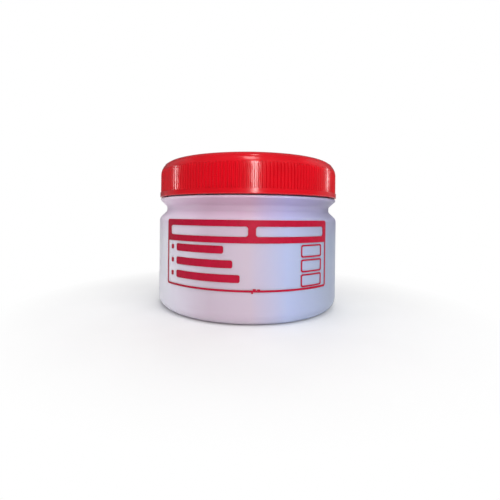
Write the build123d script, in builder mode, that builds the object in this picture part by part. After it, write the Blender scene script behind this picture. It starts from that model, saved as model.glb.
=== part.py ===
from build123d import *
import os
from math import acos, atan2, cos, degrees, radians, sin, tan

# Specimen container: a squat translucent jar with a ribbed screw cap, a foam sealing disc and a printed panel.
# Millimetres, +Z up, origin on the axis at the level the jar stands on, the printed panel centred on -Y.

# Neck of the jar and its rim
neck_radius = 30.0
neck_wall = 1.6
neck_height = 11.1
neck_inner_round = 4.0
rim_round = 0.5

# Screw thread, six turns to the inch
thread_pitch = 25.4 / 6
thread_depth = 1.05
thread_root_width = 2.1
thread_crest_width = 1.05
thread_sink = 0.4
jar_thread_start = 2.8
jar_thread_turns = 1.4
cap_thread_delay = 90.0
cap_thread_turns = 1.25

# Running clearances between the cap and the jar
crest_clearance = 0.3
flank_clearance = 0.25
skirt_clearance = 0.4

# Cap, with a plain band at its lip
cap_wall = 1.4
cap_top_thickness = 1.4
cap_corner = 5.0
band_height = 1.7
band_proud = 0.22
band_round = 0.3

# Body of the jar, nearly flush with the cap
body_proud = 0.25
jar_wall = 1.6
base_corner = 4.1
floor_thickness = 1.8
foot_width = 1.6
foot_lift = 0.8
shoulder_height = 31.7
shoulder_round = 2.0

# Waist above the shoulder and transfer bead under the cap
waist_depth = 2.6
waist_rise = 2.5
waist_height = 1.7
waist_round = 1.0
bead_set_back = 0.25
bead_rise = 2.2
bead_height = 0.6
bead_round = 0.25

# Ribs round the cap, left standing between flutes
rib_count = 180
rib_height = 7.9
flute_depth = 0.32
flute_mouth = 0.8
flute_floor = 0.38

# Foam sealing disc
liner_thickness = 1.0
liner_clearance = 0.3

# Printed panel, hung from the shoulder: widths and places across it are measured along the wall,
# drops down from its top edge
ink_thickness = 0.1
panel_width = 58.4
panel_drop = 0.3
panel_height = 21.0
panel_corner = 0.9
border_line = 0.6
window_corner = 0.4
header_height = 6.8
header_bar_height = 3.0
header_bar_corner = 0.8
header_bars = ((-27.0, 0.8), (3.1, 27.4))
row_drops = (8.8, 13.0, 17.2)
row_ends = (-6.5, -3.7, -1.5)
row_start = -23.9
row_bar_height = 2.3
row_bar_corner = 0.6
bullet_center = -26.1
bullet_width = 1.2
bullet_height = 1.45
bullet_corner = 0.35
box_drops = (9.3, 13.75, 18.2)
box_center = 22.1
box_width = 9.0
box_height = 3.9
box_line = 0.45
box_corner = 0.7

# A smudge of ink on the panel's lower line: (start, end, low, high) of each patch, from the line's lower edge
smudge_patches = ((1.9, 2.45, -0.45, 0.5), (2.3, 3.2, 0.3, 1.0), (3.6, 4.5, 0.3, 0.9))
smudge_corner = 0.18

# Radii worked out from the sizes above
neck_inner_radius = neck_radius - neck_wall
cap_bore_radius = neck_radius + thread_depth + crest_clearance
cap_radius = cap_bore_radius + cap_wall
band_radius = cap_radius + band_proud
body_radius = cap_radius + body_proud
inner_radius = body_radius - jar_wall
waist_radius = body_radius - waist_depth
bead_radius = body_radius - bead_set_back
foot_radius = body_radius - base_corner - foot_width

# Heights worked out from the sizes above
waist_low = shoulder_height + waist_rise
waist_high = waist_low + waist_height
bead_low = waist_high + bead_rise
bead_high = bead_low + bead_height
waist_slope = atan2(waist_depth, waist_rise)
inner_shoulder_height = shoulder_height - jar_wall * tan(waist_slope / 2)
inner_neck_height = inner_shoulder_height + (inner_radius - neck_inner_radius) / tan(waist_slope)
floor_height = foot_lift + floor_thickness
rim_height = bead_high + neck_height
skirt_low = bead_high + skirt_clearance
roof_low = rim_height + liner_thickness
cap_high = roof_low + cap_top_thickness
rib_low = skirt_low + band_height
panel_high = shoulder_height - panel_drop


def thread_ridge(root_radius, crest_radius, start_height, turns):
    """A helical ridge, its root sunk into the wall, trimmed flat at both ends so that it runs out."""
    outward = 1 if crest_radius > root_radius else -1
    low_radius = min(root_radius, crest_radius)
    high_radius = max(root_radius, crest_radius)
    run_out = acos(low_radius / high_radius)
    sunk_radius = root_radius - outward * thread_sink
    flank = (thread_root_width - thread_crest_width) / 2 / (high_radius - low_radius)
    sunk_half = thread_root_width / 2 + thread_sink * flank
    crest_half = thread_crest_width / 2
    trim_size = 2 * high_radius * sin(run_out)
    trim_height = 0.9 * thread_pitch
    with BuildPart() as ridge:
        with BuildLine():
            Helix(thread_pitch, turns * thread_pitch, root_radius, center=(0, 0, start_height))
        with BuildSketch(Plane.XZ):
            with BuildLine():
                Polyline(
                    (sunk_radius, start_height - sunk_half),
                    (crest_radius, start_height - crest_half),
                    (crest_radius, start_height + crest_half),
                    (sunk_radius, start_height + sunk_half),
                    close=True,
                )
            make_face()
        sweep(is_frenet=True)
        for end_turn, side in ((0, 1), (turns, -1)):
            foot_angle = 360 * end_turn + (0 if outward > 0 else side * degrees(run_out))
            trim_place = (
                low_radius + outward * trim_size / 2,
                outward * side * trim_size / 2,
                start_height + end_turn * thread_pitch,
            )
            with Locations(Location((0, 0, 0), (0, 0, foot_angle)) * Location(trim_place)):
                Box(trim_size, trim_size, trim_height, mode=Mode.SUBTRACT)
    return ridge.part


def ink_patch(start, end, low, high, corner):
    """A film of ink on the wall, from start to end along it and from low to high, its corners rounded."""
    start_angle = radians(-90) + start / body_radius
    film_plane = Plane(
        origin=(0, 0, 0),
        x_dir=(cos(start_angle), sin(start_angle), 0),
        z_dir=(sin(start_angle), -cos(start_angle), 0),
    )
    with BuildPart() as patch:
        with BuildSketch(film_plane):
            with Locations((body_radius + ink_thickness / 2, (low + high) / 2)):
                Rectangle(ink_thickness, high - low)
        revolve(axis=Axis.Z, revolution_arc=degrees((end - start) / body_radius))
        fillet(patch.edges().filter_by(lambda edge: edge.length < 2 * ink_thickness), corner)
    return patch.part


# The helical ridges of the neck and of the cap, the cap's seated just under the neck's
jar_thread_height = bead_high + jar_thread_start
flank_gap = (thread_root_width + thread_crest_width) / 2 + flank_clearance
flank_gap += crest_clearance * (thread_root_width - thread_crest_width) / thread_depth / 2
cap_thread_height = jar_thread_height - flank_gap + thread_pitch * cap_thread_delay / 360
jar_thread = thread_ridge(neck_radius, neck_radius + thread_depth, jar_thread_height, jar_thread_turns)
cap_thread = thread_ridge(
    cap_bore_radius, cap_bore_radius - thread_depth, cap_thread_height, cap_thread_turns
)

# Jar: one moulding, open at the rim
with BuildPart() as jar:
    with BuildSketch(Plane.XZ):
        with BuildLine():
            FilletPolyline(
                (0, foot_lift),
                (foot_radius, foot_lift),
                (foot_radius, 0),
                (body_radius, 0),
                (body_radius, shoulder_height),
                (waist_radius, waist_low),
                (waist_radius, waist_high),
                (bead_radius, bead_low),
                (bead_radius, bead_high),
                (neck_radius, bead_high),
                (neck_radius, rim_height),
                (neck_inner_radius, rim_height),
                (neck_inner_radius, inner_neck_height),
                (inner_radius, inner_shoulder_height),
                (inner_radius, floor_height),
                (0, floor_height),
                radius=(
                    0,
                    0,
                    0,
                    base_corner,
                    shoulder_round,
                    waist_round,
                    waist_round,
                    bead_round,
                    bead_round,
                    0,
                    rim_round,
                    rim_round,
                    neck_inner_round,
                    shoulder_round,
                    base_corner - jar_wall,
                    0,
                ),
                close=True,
            )
        make_face()
    revolve(axis=Axis.Z)
    add(jar_thread)
jar.part.label = "jar"

# Section of one flute, X outward from the cap's side; its flanks open on past the side
with BuildSketch() as flute:
    flute_over = band_proud + flute_depth
    over_mouth = flute_floor + (flute_mouth - flute_floor) * (flute_over + flute_depth) / flute_depth
    with BuildLine():
        Polyline(
            (-flute_depth, -flute_floor / 2),
            (flute_over, -over_mouth / 2),
            (flute_over, over_mouth / 2),
            (-flute_depth, flute_floor / 2),
            close=True,
        )
    make_face()

# Cap: one moulding with a ribbed side, a plain band at its lip and the thread inside
with BuildPart() as cap:
    with BuildSketch(Plane.XZ) as cap_section:
        with BuildLine():
            Polyline(
                (0, roof_low),
                (cap_bore_radius, roof_low),
                (cap_bore_radius, skirt_low),
                (band_radius, skirt_low),
                (band_radius, rib_low),
                (cap_radius, rib_low),
                (cap_radius, cap_high),
                (0, cap_high),
                close=True,
            )
        make_face()
        fillet(cap_section.vertices().group_by(Axis.Y)[0].sort_by(Axis.X)[-1], band_round)
        fillet(cap_section.vertices().group_by(Axis.Y)[-1].sort_by(Axis.X)[-1], cap_corner)
    revolve(axis=Axis.Z)
    with BuildSketch(Plane.XY.offset(rib_low)):
        with PolarLocations(cap_radius, rib_count):
            add(flute.sketch)
    extrude(amount=rib_height, mode=Mode.SUBTRACT)
    add(cap_thread, rotation=(0, 0, cap_thread_delay))
cap.part.label = "cap"

# Foam disc under the cap's roof, lying on the rim
with BuildPart() as cap_liner:
    with BuildSketch(Plane.XY.offset(rim_height)):
        Circle(cap_bore_radius - liner_clearance)
    extrude(amount=liner_thickness)
cap_liner.part.label = "cap_liner"

# Printed panel: border with a solid header, marks in rows and three tick boxes
half_panel = panel_width / 2
panel_low = panel_high - panel_height
header_low = panel_high - header_height
header_bar_low = panel_high - (header_height + header_bar_height) / 2
inked = [ink_patch(-half_panel, half_panel, panel_low, panel_high, panel_corner)]
bare = [
    ink_patch(
        border_line - half_panel, half_panel - border_line, panel_low + border_line, header_low, window_corner
    )
]
for bar_start, bar_end in header_bars:
    bar_high = header_bar_low + header_bar_height
    bare.append(ink_patch(bar_start, bar_end, header_bar_low, bar_high, header_bar_corner))
marks = []
for row_drop, row_end in zip(row_drops, row_ends):
    bar_low = panel_high - row_drop - row_bar_height / 2
    bullet_low = panel_high - row_drop - bullet_height / 2
    bullet_start = bullet_center - bullet_width / 2
    marks.append(ink_patch(row_start, row_end, bar_low, bar_low + row_bar_height, row_bar_corner))
    marks.append(
        ink_patch(
            bullet_start, bullet_start + bullet_width, bullet_low, bullet_low + bullet_height, bullet_corner
        )
    )
box_start = box_center - box_width / 2
box_end = box_start + box_width
for box_drop in box_drops:
    box_low = panel_high - box_drop - box_height / 2
    box_high = box_low + box_height
    marks.append(
        ink_patch(box_start, box_end, box_low, box_high, box_corner)
        - ink_patch(
            box_start + box_line,
            box_end - box_line,
            box_low + box_line,
            box_high - box_line,
            box_corner - box_line / 2,
        )
    )
for patch_start, patch_end, patch_low, patch_high in smudge_patches:
    marks.append(
        ink_patch(patch_start, patch_end, panel_low + patch_low, panel_low + patch_high, smudge_corner)
    )
with BuildPart() as label_print:
    add(inked)
    add(bare, mode=Mode.SUBTRACT)
    add(marks)
label_print.part.label = "label_print"

os.makedirs("parts", exist_ok=True)
for piece in (jar, cap, cap_liner, label_print):
    export_step(piece.part, f"parts/{piece.part.label}.step")
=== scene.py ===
import math

import bpy
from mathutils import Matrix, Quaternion, Vector


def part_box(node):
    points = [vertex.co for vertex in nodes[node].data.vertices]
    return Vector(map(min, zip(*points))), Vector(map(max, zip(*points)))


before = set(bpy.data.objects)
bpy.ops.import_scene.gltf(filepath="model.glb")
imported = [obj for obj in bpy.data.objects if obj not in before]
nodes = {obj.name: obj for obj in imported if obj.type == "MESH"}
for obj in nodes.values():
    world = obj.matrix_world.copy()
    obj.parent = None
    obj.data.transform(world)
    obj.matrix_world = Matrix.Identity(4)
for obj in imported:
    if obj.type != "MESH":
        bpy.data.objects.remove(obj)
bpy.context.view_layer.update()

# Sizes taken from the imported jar, in metres
jar_low, jar_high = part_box("jar")
cap_low, cap_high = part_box("cap")
BODY_RADIUS = jar_high.x

# The photograph's camera: distances in body radii, angles in degrees, image places in pixels
IMAGE_SIDE = 500
FOCAL_PIXELS = 335.1
PRINCIPAL_POINT = (237.2, 216.5)
CAMERA_DISTANCE = 3.946 * BODY_RADIUS
CAMERA_HEIGHT = 0.982 * BODY_RADIUS
CAMERA_OFFSET = 0.1176 * BODY_RADIUS
CAMERA_AZIMUTH = 2.55
CAMERA_ROLL = 0.67
SENSOR_WIDTH = 36.0
CLIP_NEAR = 0.005
CLIP_FAR = 20

# Colours, linear
RED_PLASTIC = (0.62, 0.0010, 0.009)
RED_PLASTIC_DEEP = (0.55, 0.0008, 0.007)
RED_INK = (0.36, 0.0008, 0.022)
RED_INK_THIN = (0.46, 0.0020, 0.034)
# Lit and shaded copies of the milky plastic, for painted light across the jar wall: lit, pink glow, painted
# shade
PLASTIC_PAINTED_LIT = (0.82, 0.80, 0.90)
PLASTIC_PAINTED_PINK_GLOW = (0.56, 0.47, 0.55)
PLASTIC_PAINTED_SHADE_BLUE = (0.43, 0.48, 0.68)
PLASTIC_PAINTED_SHADE_DEEP = (0.30, 0.34, 0.45)
# Painted red glow of the cap on the jar's shoulder and waist, multiplied into the wall's colour
PAINTED_GLOW_SHOULDER = (1.0, 0.90, 0.95)
PAINTED_GLOW_WAIST = (1.0, 0.82, 0.90)
FOAM_WHITE = (0.86, 0.86, 0.84)
FOAM_PIT_PAINTED_SHADE = (0.78, 0.78, 0.76)
FLOOR_WHITE = (0.90, 0.90, 0.90)
FLOOR_GREY = (0.86, 0.86, 0.86)
SURROUND_COLOR = (0.95, 0.97, 1.0)
WHITE = (1.0, 1.0, 1.0)

# Painted light in the wall's colour, from its left edge, 0, to its right edge, 1: pale lit side, painted pink
# glow, then painted shade
WALL_PAINTED_LIGHT = (
    (0.08, PLASTIC_PAINTED_LIT),
    (0.32, PLASTIC_PAINTED_PINK_GLOW),
    (0.52, PLASTIC_PAINTED_PINK_GLOW),
    (0.70, PLASTIC_PAINTED_SHADE_BLUE),
    (0.95, PLASTIC_PAINTED_SHADE_DEEP),
)
# Painted red glow of the cap in the wall, by height as a share of the jar's; the neck inside the cap has none
PAINTED_CAP_GLOW = (
    (0.50, WHITE),
    (0.62, PAINTED_GLOW_SHOULDER),
    (0.72, PAINTED_GLOW_WAIST),
    (0.77, PAINTED_GLOW_WAIST),
    (0.79, WHITE),
)

MILLIMETRE = 0.001

# Floor disc, and the ring over which it goes from its own colour to plain white for the camera
FLOOR_RADIUS = 2.5
FLOOR_SIDES = 96
WHITE_STARTS = 33 * MILLIMETRE
WHITE_FULL = 85 * MILLIMETRE

# Lamps, aimed at the middle of the jar. Azimuth and elevation in degrees, sizes in metres, power in watts;
# the strips and rims show in reflections, the fills only light the surface.
SURROUND_STRENGTH = 0.16
STRIP_DISTANCE = 0.5
RIM_DISTANCE = 0.6
RIM_SIZE = (0.4, 0.5)
FILL_DISTANCE = 0.7
FILL_SIZE = (0.5, 0.5)
STRIPS = (
    ("strip_front", CAMERA_AZIMUTH + 7, 24, (0.05, 0.36), 1.15),
    ("strip_top", CAMERA_AZIMUTH + 5, 66, (0.08, 0.2), 0.35),
)
RIMS = (
    ("rim_left", -112, 25, 0.10, (1.0, 0.90, 0.94)),
    ("rim_right", 112, 25, 0.15, (0.92, 0.94, 1.0)),
)
FILLS = (
    ("fill_left", -60, 40, 0.7),
    ("fill_right", 45, 35, 1.7),
    ("fill_back", 180, 40, 1.5),
    ("fill_top", 0, 85, 0.8),
)


def new_material(name):
    """An empty node material with its shader, and the object's own coordinates for textures."""
    material = bpy.data.materials.new(name)
    material.use_nodes = True
    tree = material.node_tree
    shader = tree.nodes["Principled BSDF"]
    coordinates = tree.nodes.new("ShaderNodeTexCoord")
    return material, tree, shader, coordinates.outputs["Object"]


def noise(tree, place, scale, detail=3.0, roughness=0.5, stretch=None):
    """Value of a noise field, about scale grains to the metre, drawn out along the axes scaled down."""
    if stretch is not None:
        mapping = tree.nodes.new("ShaderNodeMapping")
        mapping.inputs["Scale"].default_value = stretch
        tree.links.new(place, mapping.inputs["Vector"])
        place = mapping.outputs["Vector"]
    field = tree.nodes.new("ShaderNodeTexNoise")
    field.inputs["Scale"].default_value = scale
    field.inputs["Detail"].default_value = detail
    field.inputs["Roughness"].default_value = roughness
    tree.links.new(place, field.inputs["Vector"])
    return field.outputs["Fac"]


def ramp(tree, value, stops):
    """Colour read off a run of stops, each a place from 0 to 1 and a colour."""
    node = tree.nodes.new("ShaderNodeValToRGB")
    while len(node.color_ramp.elements) < len(stops):
        node.color_ramp.elements.new(0.5)
    for element, (position, color) in zip(node.color_ramp.elements, stops):
        element.position = position
        element.color = (*color, 1)
    tree.links.new(value, node.inputs["Fac"])
    return node.outputs["Color"]


def span(tree, value, low, high, new_low, new_high):
    """Value carried from one range to another."""
    node = tree.nodes.new("ShaderNodeMapRange")
    node.inputs["From Min"].default_value = low
    node.inputs["From Max"].default_value = high
    node.inputs["To Min"].default_value = new_low
    node.inputs["To Max"].default_value = new_high
    tree.links.new(value, node.inputs["Value"])
    return node.outputs["Result"]


def vary_roughness(tree, shader, value, low, high, smooth, rough):
    """Polish that follows a field, smooth where it is low and rough where it is high."""
    tree.links.new(span(tree, value, low, high, smooth, rough), shader.inputs["Roughness"])


def bump(tree, shader, height, distance, strength=1.0, below=None):
    """Surface relief from a height field; distance is in metres, and below is relief under it."""
    node = tree.nodes.new("ShaderNodeBump")
    node.inputs["Strength"].default_value = strength
    node.inputs["Distance"].default_value = distance
    tree.links.new(height, node.inputs["Height"])
    if below is not None:
        tree.links.new(below, node.inputs["Normal"])
    tree.links.new(node.outputs["Normal"], shader.inputs["Normal"])
    return node.outputs["Normal"]


def axis_place(tree, place, axis):
    """One of the object's own coordinates, in metres."""
    node = tree.nodes.new("ShaderNodeSeparateXYZ")
    tree.links.new(place, node.inputs["Vector"])
    return node.outputs[axis]


def tinted(tree, color, tint):
    """One colour multiplied by another."""
    node = tree.nodes.new("ShaderNodeVectorMath")
    node.operation = "MULTIPLY"
    tree.links.new(color, node.inputs[0])
    tree.links.new(tint, node.inputs[1])
    return node.outputs["Vector"]


def red_plastic():
    """Semi-gloss red moulded cap: slight flow clouding, fine orange-peel, polish that varies a little."""
    material, tree, shader, place = new_material("red_plastic_moulded")
    cloud = noise(tree, place, 90, detail=4)
    red = ramp(tree, cloud, ((0.35, RED_PLASTIC_DEEP), (0.65, RED_PLASTIC)))
    tree.links.new(red, shader.inputs["Base Color"])
    vary_roughness(tree, shader, noise(tree, place, 200, detail=1), 0.1, 0.9, smooth=0.14, rough=0.22)
    shader.inputs["Specular IOR Level"].default_value = 0.5
    peel = bump(tree, shader, noise(tree, place, 900), 0.02 * MILLIMETRE, 0.6)
    bump(tree, shader, noise(tree, place, 130), 0.08 * MILLIMETRE, 0.5, below=peel)
    return material


def natural_plastic():
    """Milky moulded wall: light scatters in it. Its colour holds painted light: a pale lit side, a painted
    pink glow of the cap and the print, and painted shade, cooler and darker, round to one side.
    """
    material, tree, shader, place = new_material("natural_plastic_moulded")
    streaks = noise(tree, place, 45, detail=2, stretch=(1, 1, 0.3))
    drift = span(tree, streaks, 0.3, 0.7, -0.03, 0.03)
    across = span(tree, axis_place(tree, place, "X"), -BODY_RADIUS, BODY_RADIUS, 0, 1)
    shifted = tree.nodes.new("ShaderNodeMath")
    tree.links.new(across, shifted.inputs[0])
    tree.links.new(drift, shifted.inputs[1])
    # Painted light across the wall: paler on the left, painted pink glow in the middle, painted shade bluer
    # and darker on the right
    painted_cast = ramp(tree, shifted.outputs["Value"], WALL_PAINTED_LIGHT)
    height = span(tree, axis_place(tree, place, "Z"), 0, jar_high.z, 0, 1)
    # Painted red glow of the cap, deepest at the waist under the bead
    painted_glow = ramp(tree, height, PAINTED_CAP_GLOW)
    tree.links.new(tinted(tree, painted_cast, painted_glow), shader.inputs["Base Color"])
    shader.inputs["Subsurface Weight"].default_value = 1.0
    shader.inputs["Subsurface Radius"].default_value = (1.0, 0.9, 0.95)
    shader.inputs["Subsurface Scale"].default_value = 2 * MILLIMETRE
    shader.inputs["Specular IOR Level"].default_value = 0.3
    vary_roughness(tree, shader, noise(tree, place, 120, detail=1), 0.1, 0.9, smooth=0.32, rough=0.40)
    grain = bump(tree, shader, noise(tree, place, 600, detail=1), 0.004 * MILLIMETRE, 0.5)
    bump(tree, shader, noise(tree, place, 70, detail=1), 0.12 * MILLIMETRE, 0.4, below=grain)
    return material


def red_ink():
    """Screen-printed film: slightly uneven thickness and a fine grain."""
    material, tree, shader, place = new_material("red_ink_printed")
    cover = noise(tree, place, 700, detail=5, roughness=0.7)
    tree.links.new(ramp(tree, cover, ((0.35, RED_INK), (0.75, RED_INK_THIN))), shader.inputs["Base Color"])
    vary_roughness(tree, shader, noise(tree, place, 500), 0.3, 0.7, smooth=0.36, rough=0.5)
    shader.inputs["Specular IOR Level"].default_value = 0.2
    bump(tree, shader, noise(tree, place, 2500), 0.01 * MILLIMETRE, 0.6)
    return material


def white_foam():
    """Closed-cell foam sheet: fine open pits on a matte skin, with painted shade darkening the pits."""
    material, tree, shader, place = new_material("white_foam_sheet")
    cells = tree.nodes.new("ShaderNodeTexVoronoi")
    cells.inputs["Scale"].default_value = 2500
    tree.links.new(place, cells.inputs["Vector"])
    # Painted shade: darker at the bottoms of the pits
    white = ramp(tree, cells.outputs["Distance"], ((0.0, FOAM_PIT_PAINTED_SHADE), (0.6, FOAM_WHITE)))
    tree.links.new(white, shader.inputs["Base Color"])
    vary_roughness(tree, shader, cells.outputs["Distance"], 0, 1, smooth=0.7, rough=0.9)
    bump(tree, shader, cells.outputs["Distance"], 0.05 * MILLIMETRE, 0.8)
    return material


def dress(node, material):
    """Put a finish in a CAD node's slot."""
    node.data.materials.clear()
    node.data.materials.append(material)


def place_camera():
    """The photograph's view: level, close, rolled a little, the jar right of the lens's axis."""
    azimuth = math.radians(CAMERA_AZIMUTH)
    toward_object = Vector((-math.sin(azimuth), math.cos(azimuth), 0))
    right = Vector((math.cos(azimuth), math.sin(azimuth), 0))
    data = bpy.data.cameras.new("camera")
    data.sensor_width = SENSOR_WIDTH
    data.lens = FOCAL_PIXELS / IMAGE_SIDE * SENSOR_WIDTH
    data.shift_x = (IMAGE_SIDE / 2 - PRINCIPAL_POINT[0]) / IMAGE_SIDE
    data.shift_y = (PRINCIPAL_POINT[1] - IMAGE_SIDE / 2) / IMAGE_SIDE
    data.clip_start = CLIP_NEAR
    data.clip_end = CLIP_FAR
    camera = bpy.data.objects.new("camera", data)
    foot = -toward_object * CAMERA_DISTANCE - right * CAMERA_OFFSET
    camera.location = foot + Vector((0, 0, CAMERA_HEIGHT))
    level = toward_object.to_track_quat("-Z", "Y")
    camera.rotation_mode = "QUATERNION"
    camera.rotation_quaternion = level @ Quaternion((0, 0, 1), math.radians(CAMERA_ROLL))
    bpy.context.scene.collection.objects.link(camera)
    bpy.context.scene.camera = camera


def soft_light(name, azimuth, elevation, distance, size, power, color=WHITE):
    """A rectangular lamp aimed at the middle of the jar."""
    target = Vector((0, 0, (jar_low.z + cap_high.z) / 2))
    a, e = math.radians(azimuth), math.radians(elevation)
    out = Vector((math.sin(a) * math.cos(e), -math.cos(a) * math.cos(e), math.sin(e)))
    data = bpy.data.lights.new(name, "AREA")
    data.shape = "RECTANGLE"
    data.size, data.size_y = size
    data.energy = power
    data.color = color
    lamp = bpy.data.objects.new(name, data)
    lamp.location = target + out * distance
    lamp.rotation_mode = "QUATERNION"
    lamp.rotation_quaternion = out.to_track_quat("Z", "Y")
    bpy.context.scene.collection.objects.link(lamp)
    return lamp


def build_floor():
    """Pale floor that takes the shadow near the jar and runs out to plain white for the camera."""
    bpy.ops.mesh.primitive_circle_add(
        vertices=FLOOR_SIDES, radius=FLOOR_RADIUS, fill_type="NGON", location=(0, 0, 0)
    )
    floor = bpy.context.active_object
    floor.name = "floor"
    material, tree, shader, place = new_material("floor_white")
    grain = noise(tree, place, 40)
    tree.links.new(ramp(tree, grain, ((0.3, FLOOR_GREY), (0.7, FLOOR_WHITE))), shader.inputs["Base Color"])
    shader.inputs["Roughness"].default_value = 0.7
    output = tree.nodes["Material Output"]
    distance = tree.nodes.new("ShaderNodeVectorMath")
    distance.operation = "LENGTH"
    tree.links.new(place, distance.inputs[0])
    far = span(tree, distance.outputs["Value"], WHITE_STARTS, WHITE_FULL, 0, 1)
    path = tree.nodes.new("ShaderNodeLightPath")
    seen = tree.nodes.new("ShaderNodeMath")
    seen.operation = "MULTIPLY"
    tree.links.new(far, seen.inputs[0])
    tree.links.new(path.outputs["Is Camera Ray"], seen.inputs[1])
    white = tree.nodes.new("ShaderNodeEmission")
    white.inputs["Color"].default_value = (*WHITE, 1)
    blend = tree.nodes.new("ShaderNodeMixShader")
    tree.links.new(seen.outputs["Value"], blend.inputs["Fac"])
    tree.links.new(shader.outputs["BSDF"], blend.inputs[1])
    tree.links.new(white.outputs["Emission"], blend.inputs[2])
    tree.links.new(blend.outputs["Shader"], output.inputs["Surface"])
    floor.data.materials.append(material)


def build_world():
    """Weak even light from all round; the camera sees plain white there."""
    world = bpy.data.worlds.new("studio")
    bpy.context.scene.world = world
    world.use_nodes = True
    tree = world.node_tree
    surround = tree.nodes["Background"]
    surround.inputs["Color"].default_value = (*SURROUND_COLOR, 1)
    surround.inputs["Strength"].default_value = SURROUND_STRENGTH
    white = tree.nodes.new("ShaderNodeBackground")
    white.inputs["Color"].default_value = (*WHITE, 1)
    path = tree.nodes.new("ShaderNodeLightPath")
    blend = tree.nodes.new("ShaderNodeMixShader")
    tree.links.new(path.outputs["Is Camera Ray"], blend.inputs["Fac"])
    tree.links.new(surround.outputs["Background"], blend.inputs[1])
    tree.links.new(white.outputs["Background"], blend.inputs[2])
    tree.links.new(blend.outputs["Shader"], tree.nodes["World Output"].inputs["Surface"])


dress(nodes["cap"], red_plastic())
dress(nodes["jar"], natural_plastic())
dress(nodes["label_print"], red_ink())
dress(nodes["cap_liner"], white_foam())

place_camera()
build_floor()
build_world()
for name, azimuth, elevation, size, power in STRIPS:
    soft_light(name, azimuth, elevation, STRIP_DISTANCE, size, power)
for name, azimuth, elevation, power, color in RIMS:
    soft_light(name, azimuth, elevation, RIM_DISTANCE, RIM_SIZE, power, color)
for name, azimuth, elevation, power in FILLS:
    soft_light(name, azimuth, elevation, FILL_DISTANCE, FILL_SIZE, power).visible_glossy = False

bpy.context.scene.view_settings.view_transform = "Standard"
